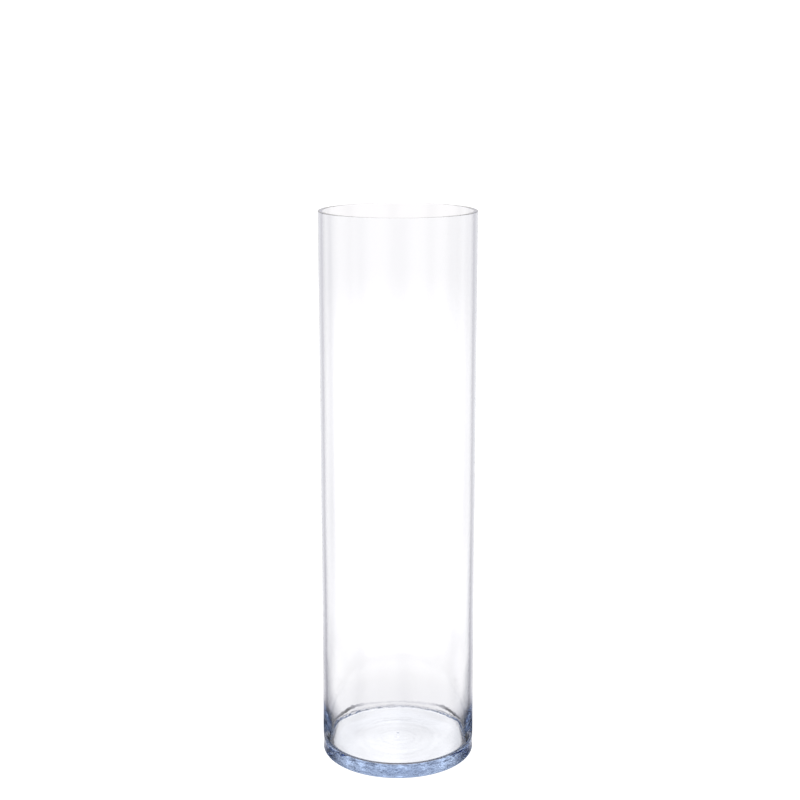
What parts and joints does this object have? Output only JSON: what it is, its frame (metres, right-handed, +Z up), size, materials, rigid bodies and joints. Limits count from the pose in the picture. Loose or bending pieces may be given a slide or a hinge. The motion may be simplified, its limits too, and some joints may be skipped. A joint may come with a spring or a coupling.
{
  "type": "cylinder vase",
  "caption": "Tall clear glass cylinder vase with a thick floor and a flat polished rim, for holding long stems in water.",
  "frame": {"origin": "on the axis, in the plane that the vase stands on", "axes": "+Z up along the axis of the vase; X and Y are any two level directions, as the body is round"},
  "size_m": [0.1, 0.1, 0.36],
  "materials": {
    "clear_glass": "polished clear glass with a faint cool violet-blue tint, lightly rippled round the foot"
  },
  "bodies": {
    "root": {"glass_body": "clear_glass"}
  },
  "joints": []
}
